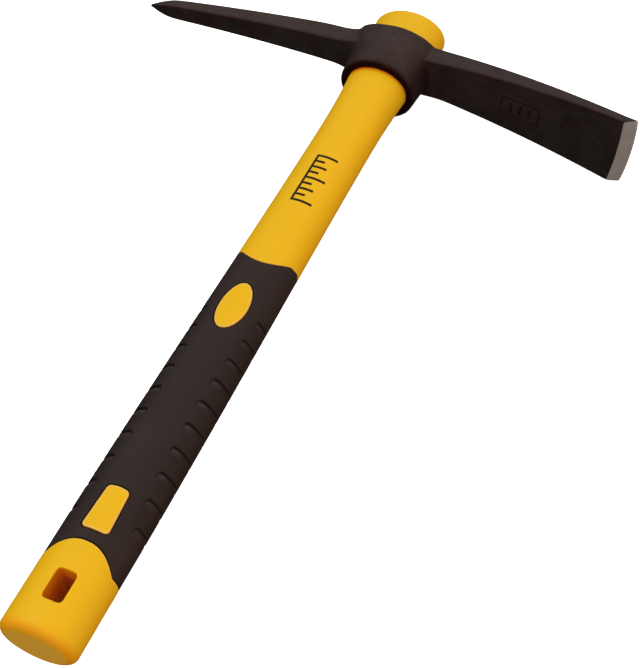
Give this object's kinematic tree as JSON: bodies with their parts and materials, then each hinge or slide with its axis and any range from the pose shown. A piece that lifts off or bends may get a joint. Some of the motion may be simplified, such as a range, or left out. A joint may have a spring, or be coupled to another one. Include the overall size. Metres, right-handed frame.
{
  "type": "hand pick-mattock",
  "caption": "Small one-hand pick-mattock: black forged head with a square pick and a wide adze, yellow moulded handle with a black rubber grip and a hang slot.",
  "frame": {"origin": "middle of the underside of the whole tool's box, with the tool lying on its side", "axes": "+Y along the handle from the butt to the head, +X from the pick's side to the adze's side, +Z square to the plane of the head"},
  "size_m": [0.262, 0.38, 0.0371],
  "materials": {
    "powder_coated_steel": "black powder coat with a light orange-peel texture, ground bare on the bevel",
    "yellow_plastic": "satin moulded polypropylene",
    "fibreglass": "plain pultruded rod",
    "black_rubber": "satin soft rubber"
  },
  "bodies": {
    "root": {"head_forging": "powder_coated_steel", "handle_jacket": "yellow_plastic", "fibreglass_core": "fibreglass", "rubber_grip": "black_rubber"}
  },
  "joints": []
}
